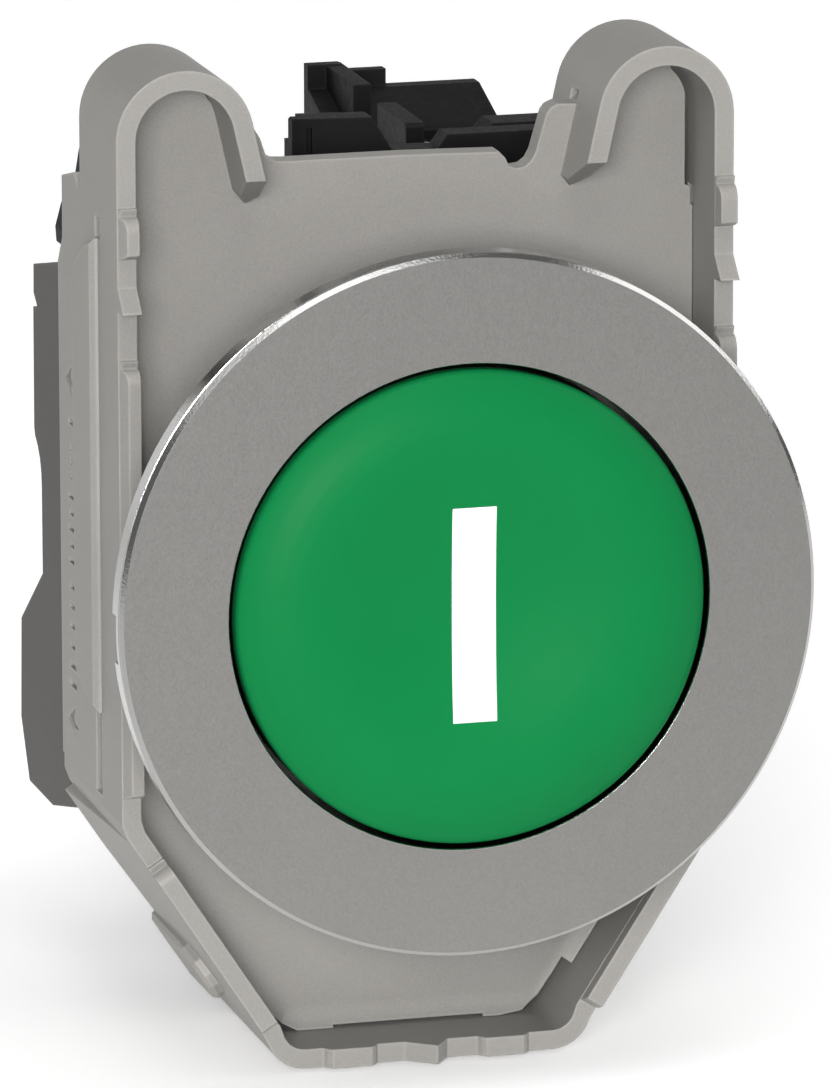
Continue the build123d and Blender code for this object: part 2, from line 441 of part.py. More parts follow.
# ---------------------------------------------------------------- clamp screw
def pan_screw(z, x, y_tip, shank_r, y_head, head_r, head_h, slot_w, cross=True):
    s = turned([(0.0, y_tip), (shank_r - 0.45, y_tip), (shank_r, y_tip + 0.45), (shank_r, y_head), (head_r, y_head),
                (head_r, y_head + head_h * 0.62), (head_r * 0.86, y_head + head_h * 0.9), (head_r * 0.6, y_head + head_h),
                (0.0, y_head + head_h)])
    top = y_head + head_h
    s -= box(-slot_w / 2, slot_w / 2, top - head_h * 0.55, top + 1, -head_r * 0.62, head_r * 0.62)
    if cross:
        s -= box(-head_r * 0.62, head_r * 0.62, top - head_h * 0.55, top + 1, -slot_w / 2, slot_w / 2)
    return Pos(x, 0, z) * s


save(pan_screw(SCREW_Z, 0.0, FLOOR_Y + PLATE_T + 0.03, SCREW_R, 26.6, SCREW_HEAD_R, 2.6, 0.9), "clamp_screw")

# ---------------------------------------------------------------- contact block
x0, x1, xc = BLK_X0, BLK_X1, BLK_XC
side = [(BLK_Y0, -14.6), (BLK_Y0, 14.6), (33.4, 15.2), (40.0, 15.4), (44.4, 15.5), (48.6, 16.9), (BLK_Y1, 16.9),
        (BLK_Y1, -16.9), (48.6, -16.9), (44.4, -15.5), (40.0, -15.4), (33.4, -15.2)]
shell = prism_yz(side, x0, x1)
# taller left wall and middle partition over each terminal
for s in (1, -1):
    a = prism_yz([(BLK_Y1, s * 16.0), (BLK_Y1, s * 18.2), (32.6, s * 18.0), (32.4, s * 17.8), (32.4, s * 14.0), (BLK_Y1, s * 14.0)], x0 + 1.05, x0 + 2.05)
    b = prism_yz([(BLK_Y1, s * 16.0), (BLK_Y1, s * 18.25), (48.9, s * 18.25), (48.9, s * 14.0), (BLK_Y1, s * 14.0)], x0, x0 + 1.9)
    d = prism_yz([(BLK_Y1, s * 16.0), (BLK_Y1, s * 17.85), (48.9, s * 17.85), (48.9, s * 14.0), (BLK_Y1, s * 14.0)], x0 + 1.8, x0 + 4.4)
    shell += a
    shell += b
    shell += d
# inside: mechanism cavity and two terminal chambers
cav = box(x0 + WALL, x1 - WALL, BLK_Y0 + WALL, BLK_Y1 - 1.0, -8.2, 8.2)
shell -= cav
for s in (1, -1):
    za, zb = sorted((s * 9.2, s * 20.0))
    shell -= box(x0 + WALL, x1 - WALL, 38.2, 43.2, za, zb)                  # wire entry, from the end
    zc, zd = sorted((s * 8.0, s * 9.4))
    shell -= box(xc - 3.0, xc + 3.0, 40.9, 42.1, zc, zd)                        # slot for the contact strip
    shell -= cyl(FUNNEL_R, 43.0, BLK_Y1 + 1, x=xc, z=s * TERM_Z)                    # screwdriver funnel
    shell -= cyl(2.0, 36.4, 43.0, x=xc, z=s * TERM_Z)                           # room for the screw's tip
shell -= box(x0 + 1.3, xc + 1.9, BLK_Y0 - 1, BLK_Y0 + WALL + 0.5, -2.6, 2.6)    # plunger opening
# front corner set back where the collar's cheek stands
shell -= box(ci - 0.3, x1 + 1, BLK_Y0 - 1, 34.5, -25, -3.4)
# split into a base and a clipped-on side cover
cover_cut = box(x1 - WALL, x1 + 1, BLK_Y0 - 1, BLK_Y1 + 1, -25, 25)
cover = shell & cover_cut
shell -= cover_cut
# clip legs that reach over the collar's rear frame
for s in (1, -1):
    leg = prism_yz([(BLK_Y0 + 0.1, s * 13.0), (BLK_Y0 + 0.1, s * 14.55), (32.5, s * 15.0), (32.5, s * 13.0)], x0 + 1.6, x1 - WALL - 1.5)
    shell += leg
save(shell, "contact_housing")
save(cover, "contact_cover")

# plunger of the block: nose under the pusher plate, window for the bridge
NY0 = PUSHER_Y1 + 0.04
pl = box(x0 + 1.55, xc - 0.9, NY0, 32.6, -2.3, 2.3)                             # nose, towards the axis
pl += box(x0 + 1.55, xc + 2.4, 31.8, 33.2, -2.3, 2.3)
pl += box(xc - 2.4, xc + 2.4, 33.0, 40.2, -2.3, 2.3)
pl -= box(xc - 1.62, xc + 1.62, 33.2, 38.62, -3.0, 3.0)                         # window that the bridge crosses
pl += cyl(0.95, 33.1, 34.0, x=xc, z=0)                                          # spring pip
pl += cyl(0.95, 40.1, 43.6, x=xc, z=0)                                          # guide pin in the return spring
save(pl, "contact_plunger")

bridge = box(xc - 1.5, xc + 1.5, 38.0, 38.6, -7.0, 7.0)
tips = Compound(children=[cyl(1.0, 38.62, 39.12, x=xc, z=s * 5.9) for s in (1, -1)])
save(bridge, "contact_bridge")
save(tips, "bridge_contacts")

# fixed contacts: strips from the mechanism to the terminals, closing after the contact stroke
CY = 39.12 + CONTACT_STROKE + 0.03
for s, nm in ((1, "upper"), (-1, "lower")):
    st = box(xc - 2.6, xc + 2.6, 41.2, 41.9, *sorted((s * 9.0, s * 14.6)))
    st += box(xc - 1.6, xc + 1.6, 41.2, 41.9, *sorted((s * 7.6, s * 9.1)))
    st += box(xc - 1.6, xc + 1.6, 41.2, 43.0, *sorted((s * 7.5, s * 8.1)))
    st += box(xc - 1.6, xc + 1.6, 42.4, 43.0, *sorted((s * 4.8, s * 8.1)))
    st -= cyl(1.82, 40, 43, x=xc, z=s * TERM_Z)
    save(st, f"terminal_strip_{nm}")
    save(cyl(1.1, CY, 42.38, x=xc, z=s * 5.9), f"fixed_contact_{nm}")
    # captive clamp washer and terminal screw, drawn with the clamp closed on nothing
    wy = 43.25
    washer = box(xc - 2.6, xc + 2.6, wy, wy + 0.9, s * TERM_Z - 2.6, s * TERM_Z + 2.6) & cyl(2.74, wy - 1, wy + 2, x=xc, z=s * TERM_Z)
    washer -= cyl(1.84, 40, 48, x=xc, z=s * TERM_Z)
    save(washer, f"clamp_washer_{nm}")
    save(pan_screw(s * TERM_Z, xc, 36.9, 1.74, wy + 0.93, 2.55, 1.9, 0.8), f"terminal_screw_{nm}")

csp = tube(1.45, 1.05, 33.23, 37.97, x=xc, z=0)
save(csp, "contact_spring")
psp = tube(1.45, 1.05, 40.23, 48.65, x=xc, z=0)
save(psp, "plunger_spring")
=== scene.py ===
import math

import bmesh
import bpy
from mathutils import Matrix, Vector


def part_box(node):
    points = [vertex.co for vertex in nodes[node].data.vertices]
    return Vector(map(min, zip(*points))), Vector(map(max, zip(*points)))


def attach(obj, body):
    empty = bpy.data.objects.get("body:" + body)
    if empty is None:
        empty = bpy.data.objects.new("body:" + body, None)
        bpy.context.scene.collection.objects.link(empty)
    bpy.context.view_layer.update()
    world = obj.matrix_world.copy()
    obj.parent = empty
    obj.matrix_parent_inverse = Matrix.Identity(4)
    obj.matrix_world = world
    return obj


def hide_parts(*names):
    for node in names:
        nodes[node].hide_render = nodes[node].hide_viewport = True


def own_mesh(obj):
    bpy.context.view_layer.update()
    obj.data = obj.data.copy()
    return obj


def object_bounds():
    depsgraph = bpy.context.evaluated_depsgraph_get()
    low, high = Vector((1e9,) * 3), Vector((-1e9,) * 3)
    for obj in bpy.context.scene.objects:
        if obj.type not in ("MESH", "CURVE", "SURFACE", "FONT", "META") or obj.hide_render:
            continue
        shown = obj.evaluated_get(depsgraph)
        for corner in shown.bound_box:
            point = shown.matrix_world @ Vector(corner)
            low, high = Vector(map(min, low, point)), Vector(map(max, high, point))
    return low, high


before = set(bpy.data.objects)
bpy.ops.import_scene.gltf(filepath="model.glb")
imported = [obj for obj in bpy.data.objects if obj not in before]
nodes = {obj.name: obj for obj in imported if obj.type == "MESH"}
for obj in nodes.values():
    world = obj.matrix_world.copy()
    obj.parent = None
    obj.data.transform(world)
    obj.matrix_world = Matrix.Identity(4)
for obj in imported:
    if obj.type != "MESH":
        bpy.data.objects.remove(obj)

CAD_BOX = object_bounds()
MM = 0.001
scene = bpy.context.scene


# ------------------------------------------------------------------ material helpers
def new_mat(name):
    m = bpy.data.materials.new(name)
    m.use_nodes = True
    nt = m.node_tree
    for n in list(nt.nodes):
        if n.type not in {"BSDF_PRINCIPLED", "OUTPUT_MATERIAL"}:
            nt.nodes.remove(n)
    return m, nt, nt.nodes["Principled BSDF"]


def link(nt, a, b):
    nt.links.new(a, b)


def coords(nt, scale=(1, 1, 1)):
    tc = nt.nodes.new("ShaderNodeTexCoord")
    mp = nt.nodes.new("ShaderNodeMapping")
    mp.inputs["Scale"].default_value = scale
    link(nt, tc.outputs["Object"], mp.inputs["Vector"])
    return mp.outputs["Vector"]


def noise(nt, vec, scale, detail=4.0, rough=0.55, distortion=0.0):
    n = nt.nodes.new("ShaderNodeTexNoise")
    n.inputs["Scale"].default_value = scale
    n.inputs["Detail"].default_value = detail
    n.inputs["Roughness"].default_value = rough
    n.inputs["Distortion"].default_value = distortion
    link(nt, vec, n.inputs["Vector"])
    return n.outputs["Fac"]


def voronoi(nt, vec, scale, feature="F1"):
    n = nt.nodes.new("ShaderNodeTexVoronoi")
    n.feature = feature
    n.inputs["Scale"].default_value = scale
    link(nt, vec, n.inputs["Vector"])
    return n.outputs["Distance"]


def ramp(nt, fac, stops):
    r = nt.nodes.new("ShaderNodeValToRGB")
    e = r.color_ramp.elements
    while len(e) < len(stops):
        e.new(0.5)
    for el, (p, c) in zip(e, stops):
        el.position = p
        el.color = c if len(c) == 4 else (*c, 1)
    link(nt, fac, r.inputs["Fac"])
    return r.outputs["Color"]


def math_node(nt, op, a, b=None, c=None, clamp=False):
    n = nt.nodes.new("ShaderNodeMath")
    n.operation = op
    n.use_clamp = clamp
    for i, v in enumerate((a, b, c)):
        if v is None:
            continue
        if isinstance(v, (int, float)):
            n.inputs[i].default_value = v
        else:
            link(nt, v, n.inputs[i])
    return n.outputs[0]


def mix_col(nt, fac, a, b, mode="MIX"):
    n = nt.nodes.new("ShaderNodeMix")
    n.data_type = "RGBA"
    n.blend_type = mode
    for sock, v in ((n.inputs[0], fac), (n.inputs[6], a), (n.inputs[7], b)):
        if isinstance(v, (int, float)):
            sock.default_value = v
        elif isinstance(v, (tuple, list)):
            sock.default_value = (*v[:3], 1)
        else:
            link(nt, v, sock)
    return n.outputs[2]


def map_range(nt, v, a0, a1, b0, b1):
    n = nt.nodes.new("ShaderNodeMapRange")
    n.inputs[1].default_value = a0
    n.inputs[2].default_value = a1
    n.inputs[3].default_value = b0
    n.inputs[4].default_value = b1
    link(nt, v, n.inputs[0])
    return n.outputs[0]


def bump(nt, height, strength, distance, normal=None):
    b = nt.nodes.new("ShaderNodeBump")
    b.inputs["Strength"].default_value = strength
    b.inputs["Distance"].default_value = distance
    link(nt, height, b.inputs["Height"])
    if normal is not None:
        link(nt, normal, b.inputs["Normal"])
    return b.outputs["Normal"]


def edge_wear_and_highlight(nt, radius):
    """1 on convex edges, 0 on flat ground; drives rubbed wear and a painted edge highlight."""
    g = nt.nodes.new("ShaderNodeNewGeometry")
    bv = nt.nodes.new("ShaderNodeBevel")
    bv.samples = 4
    bv.inputs["Radius"].default_value = radius
    d = nt.nodes.new("ShaderNodeVectorMath")
    d.operation = "DOT_PRODUCT"
    link(nt, bv.outputs["Normal"], d.inputs[0])
    link(nt, g.outputs["Normal"], d.inputs[1])
    return map_range(nt, d.outputs["Value"], 0.995, 0.90, 0.0, 1.0), bv.outputs["Normal"]


def satin_metal(name, base, dark, rough=(0.36, 0.5), grain=0.5, edge_r=0.00022, edge_gain=0.5, metallic=1.0, scale=1.0, round_r=0.00012,
                polished=None, spec=0.5):
    m, nt, b = new_mat(name)
    b.inputs["Specular IOR Level"].default_value = spec
    v = coords(nt)
    cloud = noise(nt, v, 140 * scale, 3, 0.5)
    fine = noise(nt, v, 7800 * scale, 3, 0.7)
    pits = voronoi(nt, v, 5200 * scale)
    col = mix_col(nt, map_range(nt, cloud, 0.3, 0.7, 0.0, 1.0), base, dark)
    col = mix_col(nt, map_range(nt, fine, 0.35, 0.65, 0.0, 0.35), col, tuple(min(1.0, c * 1.32) for c in base))
    wear_and_highlight, round_n = edge_wear_and_highlight(nt, edge_r)
    # convex edges mixed toward a lighter colour: rubbed wear and a painted edge highlight
    lite = tuple(min(1.0, c * (1 + edge_gain)) for c in base)
    col = mix_col(nt, math_node(nt, "MULTIPLY", wear_and_highlight, 0.8), col, lite)
    r = map_range(nt, fine, 0.3, 0.7, rough[0], rough[1])
    r = math_node(nt, "SUBTRACT", r, math_node(nt, "MULTIPLY", wear_and_highlight, 0.10), clamp=True)
    bv = nt.nodes.new("ShaderNodeBevel")
    bv.samples = 4
    bv.inputs["Radius"].default_value = round_r
    n1 = bump(nt, fine, grain, 0.000018, bv.outputs["Normal"])
    n2 = bump(nt, pits, grain * 0.35, 0.00002, n1)
    if polished is not None:
        # bright turned edge: everything outside one radius or inside another, measured from the button's axis
        r_in, r_out, bright = polished
        tc = nt.nodes.new("ShaderNodeTexCoord")
        sp_ = nt.nodes.new("ShaderNodeSeparateXYZ")
        link(nt, tc.outputs["Object"], sp_.inputs[0])
        rad = math_node(nt, "SQRT", math_node(nt, "ADD", math_node(nt, "POWER", math_node(nt, "ABSOLUTE", sp_.outputs["X"]), 2.0),
                                              math_node(nt, "POWER", math_node(nt, "ABSOLUTE", sp_.outputs["Z"]), 2.0)))
        turned = noise(nt, coords(nt, (400, 60000, 400)), 1.0, 2, 0.5)
        mask = math_node(nt, "ADD", math_node(nt, "GREATER_THAN", rad, r_out), math_node(nt, "LESS_THAN", rad, r_in), clamp=True)
        col = mix_col(nt, mask, col, mix_col(nt, map_range(nt, turned, 0.3, 0.7, 0.0, 1.0), bright, tuple(c * 0.9 for c in bright)))
        r = math_node(nt, "ADD", math_node(nt, "MULTIPLY", r, math_node(nt, "SUBTRACT", 1.0, mask)),
                      math_node(nt, "MULTIPLY", map_range(nt, turned, 0.3, 0.7, 0.10, 0.18), mask))
        met = math_node(nt, "ADD", math_node(nt, "MULTIPLY", math_node(nt, "SUBTRACT", 1.0, mask), metallic), mask, clamp=True)
        link(nt, met, b.inputs["Metallic"])
    else:
        b.inputs["Metallic"].default_value = metallic
    link(nt, col, b.inputs["Base Color"])
    link(nt, r, b.inputs["Roughness"])
    link(nt, n2, b.inputs["Normal"])
    return m


def plastic(name, base, dark, rough=(0.35, 0.5), grain=0.25, grain_scale=2600, edge_col=None, round_r=0.0001, spec=0.5, coat=0.0, dish=None):
    m, nt, b = new_mat(name)
    v = coords(nt)
    cloud = noise(nt, v, 220, 3, 0.5)
    fine = noise(nt, v, grain_scale, 4, 0.65)
    col = mix_col(nt, map_range(nt, cloud, 0.3, 0.7, 0.0, 1.0), base, dark)
    wear_and_highlight, _ = edge_wear_and_highlight(nt, 0.0002)
    # convex edges mixed toward a lighter colour: rubbed wear and a painted edge highlight
    col = mix_col(nt, math_node(nt, "MULTIPLY", wear_and_highlight, 0.35), col, edge_col or tuple(min(1, c * 1.5 + 0.02) for c in base))
    link(nt, col, b.inputs["Base Color"])
    link(nt, map_range(nt, fine, 0.3, 0.7, rough[0], rough[1]), b.inputs["Roughness"])
    b.inputs["Specular IOR Level"].default_value = spec
    b.inputs["Coat Weight"].default_value = coat
    bv = nt.nodes.new("ShaderNodeBevel")
    bv.samples = 4
    bv.inputs["Radius"].default_value = round_r
    n0 = bv.outputs["Normal"]
    if dish is not None:
        # soft moulded swell round the button's axis: highest on a ring of radius r0, lower inside it and outside it
        r0, depth = dish
        tc = nt.nodes.new("ShaderNodeTexCoord")
        sp_ = nt.nodes.new("ShaderNodeSeparateXYZ")
        link(nt, tc.outputs["Object"], sp_.inputs[0])
        q = math_node(nt, "ADD", math_node(nt, "MULTIPLY", sp_.outputs["X"], sp_.outputs["X"]),
                      math_node(nt, "MULTIPLY", sp_.outputs["Z"], sp_.outputs["Z"]))
        w_ = math_node(nt, "SUBTRACT", math_node(nt, "MULTIPLY", q, 1.0 / r0 ** 2), 1.0)
        hgt = math_node(nt, "MULTIPLY", math_node(nt, "MULTIPLY", w_, w_), -depth)
        n0 = bump(nt, hgt, 1.0, 1.0, n0)
    link(nt, bump(nt, fine, grain, 0.00002, n0), b.inputs["Normal"])
    return m


M = {}
M["bracket"] = satin_metal("satin_bracket_metal", (0.292, 0.282, 0.266), (0.278, 0.268, 0.253), rough=(0.48, 0.60), grain=0.7, metallic=0.2, edge_gain=0.4, spec=0.25)
M["collar"] = satin_metal("satin_collar_metal", (0.074, 0.070, 0.065), (0.066, 0.062, 0.058), rough=(0.55, 0.65), grain=0.45, metallic=0.3, edge_gain=0.35)
M["head"] = satin_metal("head_die_cast", (0.25, 0.245, 0.235), (0.22, 0.216, 0.208), rough=(0.38, 0.5), grain=0.45, metallic=0.8)
M["steel"] = satin_metal("zinc_plated_steel", (0.60, 0.60, 0.585), (0.52, 0.52, 0.51), rough=(0.2, 0.32), grain=0.2)
M["spring"] = satin_metal("spring_wire", (0.52, 0.52, 0.52), (0.44, 0.44, 0.45), rough=(0.22, 0.34), grain=0.2)
M["copper"] = satin_metal("copper_alloy_strip", (0.70, 0.50, 0.24), (0.62, 0.43, 0.19), rough=(0.22, 0.36), grain=0.25)
M["silver"] = satin_metal("silver_contact_face", (0.78, 0.77, 0.74), (0.70, 0.69, 0.66), rough=(0.22, 0.34), grain=0.3)
M["black"] = plastic("black_moulded_plastic", (0.0055, 0.0055, 0.0055), (0.008, 0.008, 0.008), rough=(0.5, 0.64), grain=0.5, spec=0.14)
M["carrier"] = plastic("black_carrier_plastic", (0.006, 0.006, 0.006), (0.008, 0.008, 0.008), rough=(0.4, 0.55), grain=0.3, spec=0.2)
M["green"] = plastic("green_cap_plastic", (0.0040, 0.186, 0.049), (0.0040, 0.179, 0.047), rough=(0.40, 0.47), grain=0.10, grain_scale=7000,
                     edge_col=(0.006, 0.26, 0.08), spec=0.06, dish=(0.0085, 0.0008))
M["white"] = plastic("white_inlaid_plastic", (0.97, 0.97, 0.97), (0.95, 0.95, 0.95), rough=(0.36, 0.44), grain=0.06, edge_col=(0.98, 0.98, 0.98), spec=0.4)
M["slider"] = plastic("green_slider_plastic", (0.02, 0.25, 0.08), (0.016, 0.22, 0.07), rough=(0.35, 0.48))
M["nylon"] = plastic("natural_nylon", (0.68, 0.66, 0.59), (0.62, 0.60, 0.53), rough=(0.36, 0.48))
M["rubber"] = plastic("black_rubber", (0.012, 0.012, 0.012), (0.018, 0.018, 0.018), rough=(0.6, 0.75), grain=0.6, spec=0.3)
M["bellows"] = plastic("silicone_bellows", (0.05, 0.05, 0.055), (0.07, 0.07, 0.075), rough=(0.5, 0.62), grain=0.3)
M["bezel"] = satin_metal("bezel_satin_face", (0.226, 0.221, 0.212), (0.219, 0.214, 0.206), rough=(0.40, 0.48), grain=0.5, edge_r=0.00004, edge_gain=0.1,
                         metallic=0.7, round_r=0.00002, polished=(0.01250, 0.017785, (0.46, 0.46, 0.45)))

USE = {
    "bezel_ring": "bezel", "panel_gasket": "rubber", "head_barrel": "head", "button_cap": "green", "on_mark": "white", "cap_carrier": "carrier",
    "sealing_bellows": "bellows", "return_spring": "spring", "pusher_plate": "nylon", "retaining_clip": "steel", "bracket_strip": "bracket",
    "bracket_plate": "bracket", "collar_body": "collar", "bayonet_ring": "steel", "lock_lever": "black", "contact_carrier": "black",
    "clamp_screw": "steel", "contact_housing": "black", "contact_cover": "black", "contact_plunger": "slider", "contact_bridge": "copper",
    "bridge_contacts": "silver", "terminal_strip_upper": "copper", "terminal_strip_lower": "copper", "fixed_contact_upper": "silver",
    "fixed_contact_lower": "silver", "clamp_washer_upper": "steel", "clamp_washer_lower": "steel", "terminal_screw_upper": "steel",
    "terminal_screw_lower": "steel", "contact_spring": "spring", "plunger_spring": "spring",
}
for n, o in nodes.items():
    o.data.materials.clear()
    o.data.materials.append(M[USE[n]])


# ------------------------------------------------------------------ pieces that CAD only stands in for
def mesh_piece(name, verts, faces, mat, smooth=True):
    me = bpy.data.meshes.new(name)
    me.from_pydata(verts, [], faces)
    me.validate()
    b_ = bmesh.new()
    b_.from_mesh(me)
    bmesh.ops.remove_doubles(b_, verts=b_.verts, dist=1e-9)
    bmesh.ops.recalc_face_normals(b_, faces=b_.faces)
    b_.to_mesh(me)
    b_.free()
    if smooth:
        for p_ in me.polygons:
            p_.use_smooth = True
    me.materials.append(M[mat])
    o_ = bpy.data.objects.new(name, me)
    scene.collection.objects.link(o_)
    return o_


def helix_spring(name, node, turns, wire_r, mat="spring", ends=0.9, sides=12, per_turn=40):
    """A compression spring that fills the CAD tube: closed end coils, open coils between."""
    a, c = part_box(node)
    cx, cz = (a.x + c.x) / 2, (a.z + c.z) / 2
    rm = (c.x - a.x) / 2 - wire_r
    y0, y1 = a.y + wire_r, c.y - wire_r
    n = int(turns * per_turn)
    pts = []
    for i in range(n + 1):
        t = turns * i / n
        flat = ends
        if t < flat:
            y = y0 + 2 * wire_r * 0.96 * t / flat * flat
        elif t > turns - flat:
            y = y1 - 2 * wire_r * 0.96 * (turns - t)
        else:
            ya = y0 + 2 * wire_r * 0.96 * flat
            yb = y1 - 2 * wire_r * 0.96 * flat
            y = ya + (yb - ya) * (t - flat) / (turns - 2 * flat)
        ang = 2 * math.pi * t
        pts.append((Vector((cx + rm * math.cos(ang), y, cz + rm * math.sin(ang))), ang))
    verts, faces = [], []
    for q, ang in pts:
        out = Vector((math.cos(ang), 0, math.sin(ang)))
        for k in range(sides):
            w = 2 * math.pi * k / sides
            verts.append(q + out * (wire_r * math.cos(w)) + Vector((0, wire_r * math.sin(w), 0)))
    for i in range(len(pts) - 1):
        for k in range(sides):
            k2 = (k + 1) % sides
            faces.append((i * sides + k, i * sides + k2, (i + 1) * sides + k2, (i + 1) * sides + k))
    faces.append(tuple(range(sides)))
    faces.append(tuple(range((len(pts) - 1) * sides, len(pts) * sides)))
    return mesh_piece(name, verts, faces, mat)


def threaded_screw(name, node, shank_r, head_h, pitch, mat="steel", slot_w=0.00085, cross=True, depth=0.00022):
    """A pan-head screw with a rolled thread; the head has a rounded rim and a recess cut by boolean."""
    a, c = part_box(node)
    cx, cz = (a.x + c.x) / 2, (a.z + c.z) / 2
    head_r = (c.x - a.x) / 2
    y_tip, y_top = a.y, c.y
    y_head = y_top - head_h
    seg = 48
    verts, faces = [], []
    rows = []
    n_rows = int((y_head - y_tip) / (pitch / 14))
    for i in range(n_rows + 1):
        y = y_tip + (y_head - y_tip) * i / n_rows
        row = []
        for k in range(seg):
            ang = 2 * math.pi * k / seg
            ph = ((y - y_tip) / pitch - k / seg) % 1.0
            tri = abs(2 * ph - 1)
            prof = min(1.0, max(0.0, (tri - 0.12) / 0.76))
            fade = min(1.0, (y_head - y) / (1.2 * pitch)) if y_head - y < 1.2 * pitch else 1.0
            r_ = shank_r - depth * prof * max(0.0, fade)
            lead = (y - y_tip) / 0.0006
            if lead < 1.0:
                r_ = min(r_, shank_r - 0.0005 * (1 - lead))
            row.append(len(verts))
            verts.append(Vector((cx + r_ * math.cos(ang), y, cz + r_ * math.sin(ang))))
        rows.append(row)
    prof_head = [(head_r - 0.0001, 0.0), (head_r, 0.0001), (head_r, head_h * 0.52)]
    prof_head += [(head_r - head_h * 0.42 * (1 - math.cos(t)) * 1.1, head_h * 0.52 + head_h * 0.48 * math.sin(t)) for t in [math.pi / 2 * j / 7 for j in range(1, 8)]]
    for r_, h in prof_head:
        row = []
        for k in range(seg):
            ang = 2 * math.pi * k / seg
            row.append(len(verts))
            verts.append(Vector((cx + r_ * math.cos(ang), y_head + h, cz + r_ * math.sin(ang))))
        rows.append(row)
    for ra, rb in zip(rows, rows[1:]):
        for k in range(seg):
            k2 = (k + 1) % seg
            faces.append((ra[k], ra[k2], rb[k2], rb[k]))
    faces.append(tuple(rows[0]))
    faces.append(tuple(rows[-1]))
    o_ = mesh_piece(name, verts, faces, mat, smooth=False)
    cuts = [(head_r * 0.62, slot_w / 2)] + ([(slot_w / 2, head_r * 0.62)] if cross else [])
    for i, (hx, hz) in enumerate(cuts):
        cv = []
        for dy in (head_h * 0.45, head_h * 1.2):
            taper = 0.82 if dy < head_h else 1.0
            for sx, sz in ((-1, -1), (1, -1), (1, 1), (-1, 1)):
                cv.append(Vector((cx + sx * hx * taper, y_head + dy, cz + sz * hz)))
        cut = mesh_piece(f"{name}_cutter_{i}", cv, [(0, 1, 2, 3), (4, 5, 6, 7), (0, 1, 5, 4), (1, 2, 6, 5), (2, 3, 7, 6), (3, 0, 4, 7)], mat, smooth=False)
        bpy.context.view_layer.objects.active = o_
        md = o_.modifiers.new("recess", "BOOLEAN")
        md.operation = "DIFFERENCE"
        md.solver = "EXACT"
        md.object = cut
        dg = bpy.context.evaluated_depsgraph_get()
        done = bpy.data.meshes.new_from_object(o_.evaluated_get(dg))
        o_.modifiers.clear()
        o_.data = done
        bpy.data.objects.remove(cut, do_unlink=True)
    for p_ in o_.data.polygons:
        p_.use_smooth = True
    with_sharp(o_.data, 38)
    return o_


def with_sharp(me, deg):
    b_ = bmesh.new()
    b_.from_mesh(me)
    lim = math.radians(deg)
    for e in b_.edges:
        if len(e.link_faces) == 2 and e.calc_face_angle(0.0) > lim:
            e.smooth = False
    b_.to_mesh(me)
    b_.free()


def lathe(name, profile, mat, seg=96):
    """A turned ring about the button's axis; profile is a closed loop of (radius, y) in millimetres."""
    verts, faces = [], []
    n = len(profile)
    for k in range(seg):
        ang = 2 * math.pi * k / seg
        verts += [Vector((rr * MM * math.cos(ang), yy * MM, rr * MM * math.sin(ang))) for rr, yy in profile]
    for k in range(seg):
        k2 = (k + 1) % seg
        for i in range(n):
            i2 = (i + 1) % n
            faces.append((k * n + i, k * n + i2, k2 * n + i2, k2 * n + i))
    return mesh_piece(name, verts, faces, mat)


def fold(points, steps=6):
    """Rounds the crests of a folded wall: short arcs through the corner points."""
    out = [points[0]]
    for a, b_, c in zip(points, points[1:], points[2:]):
        p0 = (b_[0] * 0.65 + a[0] * 0.35, b_[1] * 0.65 + a[1] * 0.35)
        p1 = (b_[0] * 0.65 + c[0] * 0.35, b_[1] * 0.65 + c[1] * 0.35)
        for i in range(steps + 1):
            t = i / steps
            out.append(((1 - t) ** 2 * p0[0] + 2 * t * (1 - t) * b_[0] + t * t * p1[0],
                        (1 - t) ** 2 * p0[1] + 2 * t * (1 - t) * b_[1] + t * t * p1[1]))
    out.append(points[-1])
    return out


outer_fold = fold([(9.5, 1.2), (9.5, 1.9), (9.2, 2.2), (10.1, 3.3), (9.0, 4.5), (10.1, 5.7), (9.0, 6.9), (10.1, 8.1), (9.7, 8.8), (10.3, 9.1), (10.3, 10.0)])
inner_fold = fold([(8.0, 10.0), (8.0, 9.0), (9.2, 8.6), (9.35, 8.1), (8.2, 6.9), (9.35, 5.7), (8.2, 4.5), (9.35, 3.3), (8.2, 2.2), (8.0, 1.9), (8.0, 1.2)])
sp = lathe("sealing_bellows_folded", outer_fold + inner_fold, "bellows")
with_sharp(sp.data, 45)
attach(sp, "mounted_head")
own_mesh(sp)
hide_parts("sealing_bellows")
sp = helix_spring("return_spring_coil", "return_spring", 9.5, 0.00035)
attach(sp, "mounted_head")
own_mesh(sp)
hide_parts("return_spring")
sp = helix_spring("plunger_spring_coil", "plunger_spring", 8.5, 0.0002)
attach(sp, "mounted_head")
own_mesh(sp)
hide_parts("plunger_spring")
sp = helix_spring("contact_spring_coil", "contact_spring", 6.0, 0.0002)
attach(sp, "contact_slider")
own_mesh(sp)
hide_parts("contact_spring")
for nm, node, body, sr, hh, pt in (("bracket_screw_threaded", "clamp_screw", "bracket_screw", 0.00195, 0.0026, 0.0007),
                                   ("terminal_screw_threaded_upper", "terminal_screw_upper", "upper_screw", 0.00174, 0.0019, 0.0006),
                                   ("terminal_screw_threaded_lower", "terminal_screw_lower", "lower_screw", 0.00174, 0.0019, 0.0006)):
    sc_ = threaded_screw(nm, node, sr, hh, pt)
    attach(sc_, body)
    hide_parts(node)

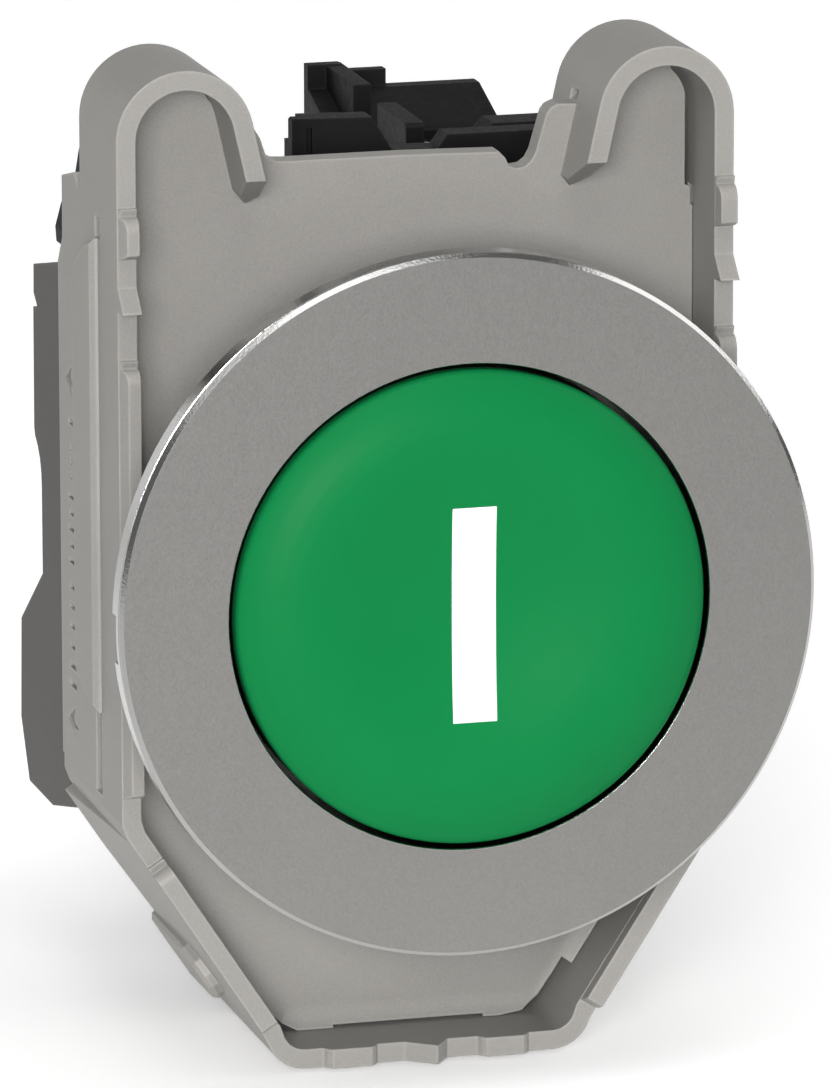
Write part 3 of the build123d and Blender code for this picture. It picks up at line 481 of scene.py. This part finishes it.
# ------------------------------------------------------------------ stage
lo, hi = CAD_BOX
bm = bmesh.new()
floor_z = lo[2] - 0.0002
half = 0.7
n_seg = 24
rows = [(-half, floor_z)] + [(0.45 + 0.12 * math.sin(t), floor_z + 0.12 * (1 - math.cos(t))) for t in [math.pi / 2 * k / n_seg for k in range(n_seg + 1)]] + [(0.57, 0.16)]
prev = None
for y, z in rows:
    a = bm.verts.new((-half, y, z))
    b = bm.verts.new((half, y, z))
    if prev:
        bm.faces.new((prev[0], prev[1], b, a))
    prev = (a, b)
me = bpy.data.meshes.new("pale_floor")
bm.to_mesh(me)
bm.free()
for p in me.polygons:
    p.use_smooth = True
floor = bpy.data.objects.new("pale_floor", me)
scene.collection.objects.link(floor)
mf, nt, b = new_mat("pale_floor")
v = coords(nt)
fc = ramp(nt, noise(nt, v, 30, 3), [(0.3, (0.93, 0.93, 0.93)), (0.7, (0.95, 0.95, 0.95))])
tcf = nt.nodes.new("ShaderNodeTexCoord")
spf = nt.nodes.new("ShaderNodeSeparateXYZ")
link(nt, tcf.outputs["Object"], spf.inputs[0])
# the floor is grey in front of the part, where the camera does not see it, and white from just in front of the part
# backwards
behind = map_range(nt, spf.outputs["Y"], -0.10, -0.006, 0.0, 1.0)
link(nt, mix_col(nt, behind, (0.55, 0.55, 0.55), fc), b.inputs["Base Color"])
# painted light: the floor glows, filling in the part's cast shadow on the floor and lighting the part from below; there
# is no glow in front of the part, and the glow is weaker to the far left and up the back curve
pool = math_node(nt, "MULTIPLY", map_range(nt, spf.outputs["X"], -0.07, -0.02, 0.1, 1.0), map_range(nt, spf.outputs["Y"], 0.34, 0.50, 1.0, 0.1))
link(nt, math_node(nt, "MULTIPLY", math_node(nt, "MULTIPLY", behind, pool), 0.27), b.inputs["Emission Strength"])
b.inputs["Roughness"].default_value = 0.9
b.inputs["Specular IOR Level"].default_value = 0.2
b.inputs["Emission Color"].default_value = (1, 1, 1, 1)
me.materials.append(mf)

world = bpy.data.worlds.new("studio")
scene.world = world
world.use_nodes = True
wn = world.node_tree
bg = wn.nodes["Background"]
tcw = wn.nodes.new("ShaderNodeTexCoord")
sep = wn.nodes.new("ShaderNodeSeparateXYZ")
wn.links.new(tcw.outputs["Generated"], sep.inputs[0])
wr = wn.nodes.new("ShaderNodeValToRGB")
wr.color_ramp.elements[0].position = 0.0
wr.color_ramp.elements[0].color = (0.28, 0.28, 0.28, 1)
wr.color_ramp.elements[1].position = 1.0
wr.color_ramp.elements[1].color = (0.10, 0.10, 0.10, 1)
mr = wn.nodes.new("ShaderNodeMapRange")
mr.inputs[1].default_value = -0.9
mr.inputs[2].default_value = 0.9
wn.links.new(sep.outputs["Y"], mr.inputs[0])
wn.links.new(mr.outputs[0], wr.inputs["Fac"])
wn.links.new(wr.outputs["Color"], bg.inputs["Color"])
bg.inputs["Strength"].default_value = 1.0


def area(name, loc, target, size, radiance, color=(1, 1, 1)):
    l = bpy.data.lights.new(name, "AREA")
    l.shape = "RECTANGLE"
    l.size, l.size_y = size
    l.energy = radiance * math.pi * size[0] * size[1]
    l.color = color
    o = bpy.data.objects.new(name, l)
    o.location = loc
    d = Vector(target) - Vector(loc)
    o.rotation_euler = d.to_track_quat("-Z", "Y").to_euler()
    scene.collection.objects.link(o)
    return o


area("top_box", (-0.14, -0.30, 0.70), (0, 0.0, 0), (0.6, 0.5), 2.4)
area("back_top", (0.05, 0.35, 0.65), (0.05, 0.2, 0), (0.6, 0.4), 0.9)
area("front_key", (-0.36, -0.83, 0.25), (0, 0, 0), (0.26, 0.26), 20.0)
area("camera_fill", (-0.20, -0.87, 0.17), (0, 0, 0), (0.20, 0.18), 29.0)
area("right_card", (0.70, -0.05, 0.42), (0, 0, 0), (0.5, 0.6), 2.0)
area("left_card", (-0.52, -0.27, 0.54), (0, 0, 0), (0.3, 0.3), 1.0)

# ------------------------------------------------------------------ camera
AZ, EL, ROLL = math.radians(15.254), math.radians(13.194), math.radians(-0.140)
DIST, F_PX = 0.5, 10028.5
fwd = Vector((math.sin(AZ) * math.cos(EL), math.cos(AZ) * math.cos(EL), -math.sin(EL)))
r = Vector((math.cos(AZ), -math.sin(AZ), 0))
u = r.cross(fwd)
r2 = math.cos(ROLL) * r + math.sin(ROLL) * u
u2 = -math.sin(ROLL) * r + math.cos(ROLL) * u
pos = Vector((-2.447 * MM, -0.2 * MM, 3.103 * MM)) - DIST * fwd
cam_data = bpy.data.cameras.new("photo_view")
cam_data.sensor_width = 36.0
cam_data.sensor_fit = "AUTO"
cam_data.lens = F_PX * 36.0 / 1088.0
cam_data.clip_start = 0.02
cam_data.clip_end = 20.0
cam = bpy.data.objects.new("photo_view", cam_data)
rot = Matrix((r2, u2, -fwd)).transposed()
cam.matrix_world = Matrix.Translation(pos) @ rot.to_4x4()
scene.collection.objects.link(cam)
scene.camera = cam

scene.view_settings.view_transform = "Standard"
bpy.context.view_layer.update()
